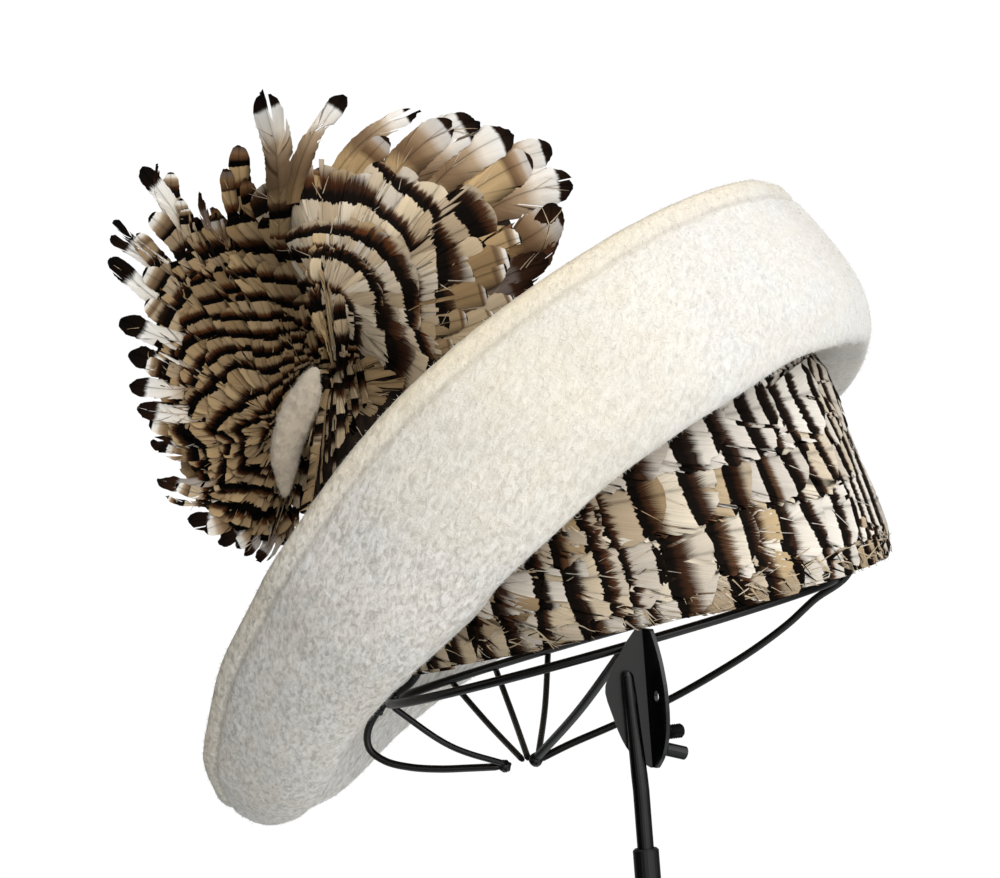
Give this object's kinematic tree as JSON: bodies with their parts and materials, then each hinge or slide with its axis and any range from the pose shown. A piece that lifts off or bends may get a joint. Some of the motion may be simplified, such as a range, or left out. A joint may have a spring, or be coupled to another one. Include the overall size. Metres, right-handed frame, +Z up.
{
  "type": "feathered felt hat on a wire hat stand",
  "caption": "Pale felt hat with a wide upturned brim, a crown covered with barred feathers and a large feather fan at its front, on a black wire hat stand.",
  "frame": {"origin": "centre of the underside of the stand's round foot, on the axis of its upright rod", "axes": "+Z up along the rod, -X the way the hat's front looks, -Y the side of the wearer's left ear"},
  "size_m": [0.3097, 0.3054, 0.4718],
  "materials": {
    "felt": "long-nap felt, off-white",
    "feathers": "barred feathers, cream, rust, taupe and black-brown",
    "black_paint": "glossy black"
  },
  "bodies": {
    "root": {"crown": "feathers", "felt_brim": "felt", "feather_fan": "feathers", "felt_crescent": "felt", "wire_form": "black_paint", "clamp_bracket": "black_paint", "clamp_bolt": "black_paint", "clamp_nut": "black_paint", "stand_rod": "black_paint", "rod_sleeve": "black_paint", "stand_base": "black_paint"}
  },
  "joints": []
}
